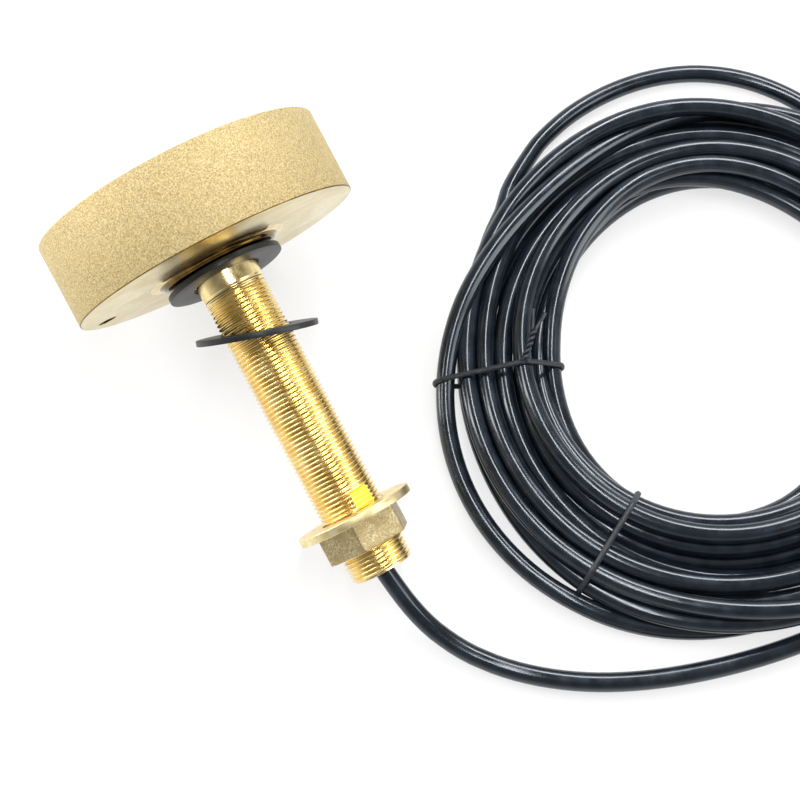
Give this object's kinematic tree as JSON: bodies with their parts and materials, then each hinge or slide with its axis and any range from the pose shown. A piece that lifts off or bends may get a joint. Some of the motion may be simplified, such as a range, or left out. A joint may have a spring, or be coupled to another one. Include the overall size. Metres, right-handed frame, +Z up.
{
  "type": "sonar transducer",
  "caption": "Through-hull sonar transducer: a round bronze head on a long threaded stem with rubber and metal washers, a hull nut, and a coiled cable ending in a round plug.",
  "frame": {"origin": "on the surface that the transducer lies on, under the middle of its box without the cable", "axes": "+X along the stem, from the head to the cable's end; +Y towards the coiled cable; +Z up"},
  "size_m": [0.3774, 0.452, 0.1576],
  "materials": {
    "bronze_head": "sand-cast, with turned faces",
    "turned_brass": "turned and threaded, bright",
    "washer_brass": "turned, satin",
    "nut_brass": "rough cast",
    "washer_rubber": "moulded, satin",
    "seal_rubber": "moulded, matt",
    "urethane": "cast, smooth",
    "cork": "cut cork",
    "ceramic": "fired ceramic",
    "epoxy": "cast",
    "board": "coated glass laminate",
    "copper": "drawn wire",
    "nickel": "nickel-plated",
    "gold": "gold-plated",
    "insulator_plastic": "moulded",
    "cable_jacket": "extruded, glossy",
    "tie_plastic": "plastic-coated wire"
  },
  "bodies": {
    "transducer": {"head_housing": "bronze_head", "stem": "turned_brass", "stem_seal_ring": "seal_rubber", "acoustic_window": "urethane", "liner_ring": "cork", "element_carrier": "cork", "centre_element": "ceramic", "ring_elements": "ceramic", "backing_pad": "cork", "element_leads": "copper", "terminal_board": "board", "tuning_coil": "copper", "temperature_sensor": "nickel", "cable_cores": "copper", "potting": "epoxy", "cable_in_stem": "cable_jacket", "cable_seal": "seal_rubber", "head_washer": "washer_rubber", "loose_washer": "washer_rubber", "cable_lead": "cable_jacket", "cable_coil": "cable_jacket", "cable_loop_top": "cable_jacket", "cable_loop_low": "cable_jacket", "cable_tail": "cable_jacket", "tie_left": "tie_plastic", "tie_low": "tie_plastic", "connector_shell": "nickel", "connector_insulator": "insulator_plastic", "connector_pins": "gold", "connector_boot": "seal_rubber"},
    "washer": {"hull_washer": "washer_brass"},
    "nut": {"hull_nut": "nut_brass"}
  },
  "joints": [
    {"name": "washer_slide", "type": "slide", "parent": "transducer", "child": "washer", "axis": [-0.957, 0, 0.2902], "range_m": [-0.0125, 0.088]},
    {"name": "nut_turn", "type": "hinge", "parent": "washer", "child": "nut", "pos_m": [0.09287, 0, 0.02759], "axis": [-0.957, 0, 0.2902], "continuous": true}
  ],
  "couplings": [
    {"joint": "nut_turn", "follows": "washer_slide", "rad_per_m": 2721.2}
  ]
}
